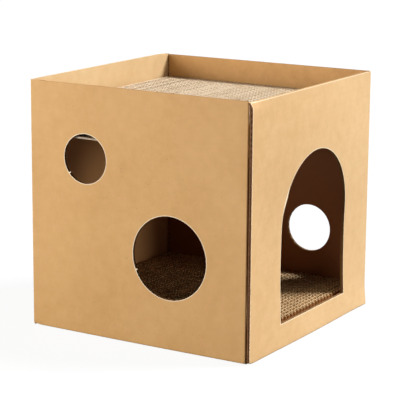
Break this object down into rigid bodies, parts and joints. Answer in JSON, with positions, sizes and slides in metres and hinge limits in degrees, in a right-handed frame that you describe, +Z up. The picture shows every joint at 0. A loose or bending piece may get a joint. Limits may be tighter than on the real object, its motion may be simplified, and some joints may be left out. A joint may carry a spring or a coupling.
{
  "type": "cat condo",
  "caption": "Cube of folded corrugated board for a cat, with an arched doorway, round windows, a scratch pad sunk in the top and another on the floor.",
  "frame": {"origin": "on the ground, under the middle of the cube", "axes": "+Z up, the window wall faces -Y, the door wall faces +X, the rear wall faces +Y"},
  "size_m": [0.4, 0.4, 0.4],
  "materials": {
    "kraft_liner": "matt brown kraft liner with faint flute lines and raw cut edges",
    "kraft_inside": "matt brown kraft inner liner",
    "fluted_pad": "matt cut ends of corrugated strips, open flutes upwards"
  },
  "bodies": {
    "root": {"window_wall": "kraft_liner", "left_wall": "kraft_liner", "near_glue_tab": "kraft_inside", "door_wall": "kraft_liner", "rear_wall": "kraft_liner", "far_glue_tab": "kraft_inside", "left_bottom_flap": "kraft_inside", "right_bottom_flap": "kraft_inside", "deck_board": "kraft_inside", "deck_left_lip": "kraft_inside", "deck_right_lip": "kraft_inside"},
    "front_flap": {"front_bottom_flap": "kraft_liner"},
    "rear_flap": {"rear_bottom_flap": "kraft_liner"},
    "top_pad": {"top_pad": "fluted_pad"},
    "floor_pad": {"floor_pad": "fluted_pad"}
  },
  "joints": [
    {"name": "top_pad_lift", "type": "slide", "parent": "root", "child": "top_pad", "axis": [0, 0, 1], "range_m": [0, 0.1]},
    {"name": "floor_pad_lift", "type": "slide", "parent": "root", "child": "floor_pad", "axis": [0, 0, 1], "range_m": [0, 0.2]},
    {"name": "front_flap_fold", "type": "hinge", "parent": "root", "child": "front_flap", "pos_m": [0, -0.2, 0.0025], "axis": [-1, 0, 0], "range_deg": [0, 180]},
    {"name": "rear_flap_fold", "type": "hinge", "parent": "root", "child": "rear_flap", "pos_m": [0, 0.2, 0.0025], "axis": [1, 0, 0], "range_deg": [0, 180]}
  ]
}
